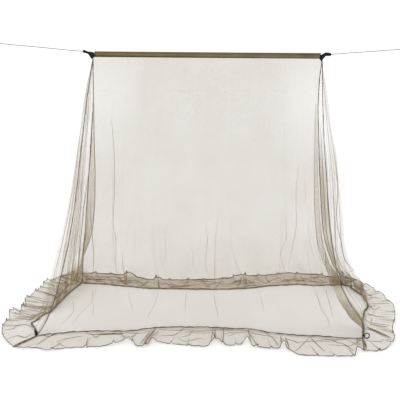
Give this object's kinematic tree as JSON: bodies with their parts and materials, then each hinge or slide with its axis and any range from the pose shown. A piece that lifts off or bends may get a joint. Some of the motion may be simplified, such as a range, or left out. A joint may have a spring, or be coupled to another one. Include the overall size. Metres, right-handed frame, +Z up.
{
  "type": "mosquito net canopy",
  "caption": "Sheer hanging mosquito net for a sleeper: walls fall from a ridge strip on taut cords to a ruffled skirt on the floor, with a peg ring at each corner.",
  "frame": {"origin": "middle of the ridge strip's top edge, where the net hangs, 1.853 m above the floor", "axes": "+X along the ridge strip to the right, -Y towards the front, +Z up"},
  "size_m": [2.9033, 1.636, 1.9211],
  "materials": {
    "ridge_webbing": "olive-brown woven polyester webbing, matt",
    "tab_webbing": "black webbing, matt",
    "cord_braid": "dark grey braided cord",
    "netting": "sheer olive-brown knitted polyester netting",
    "skirt_netting": "the same netting, ruffled, with a rolled edge",
    "binding_tape": "narrow dark brown binding tape",
    "peg_ring": "black coated wire ring"
  },
  "bodies": {
    "root": {"ridge_strip": "ridge_webbing", "end_tab_left": "tab_webbing", "end_tab_right": "tab_webbing", "cord_left": "cord_braid", "cord_right": "cord_braid", "cord_loop_left": "cord_braid", "cord_loop_right": "cord_braid", "net_front": "netting", "net_right": "netting", "net_back": "netting", "net_left": "netting", "seam_front_left": "binding_tape", "seam_front_right": "binding_tape", "seam_back_right": "binding_tape", "seam_back_left": "binding_tape", "hem_front": "binding_tape", "hem_right": "binding_tape", "hem_back": "binding_tape", "hem_left": "binding_tape", "skirt_front": "skirt_netting", "skirt_right": "skirt_netting", "skirt_back": "skirt_netting", "skirt_left": "skirt_netting", "peg_ring_front_left": "peg_ring", "peg_ring_front_right": "peg_ring", "peg_ring_back_right": "peg_ring", "peg_ring_back_left": "peg_ring", "peg_eye_front_left": "tab_webbing", "peg_eye_front_right": "tab_webbing", "peg_eye_back_right": "tab_webbing", "peg_eye_back_left": "tab_webbing"}
  },
  "joints": []
}
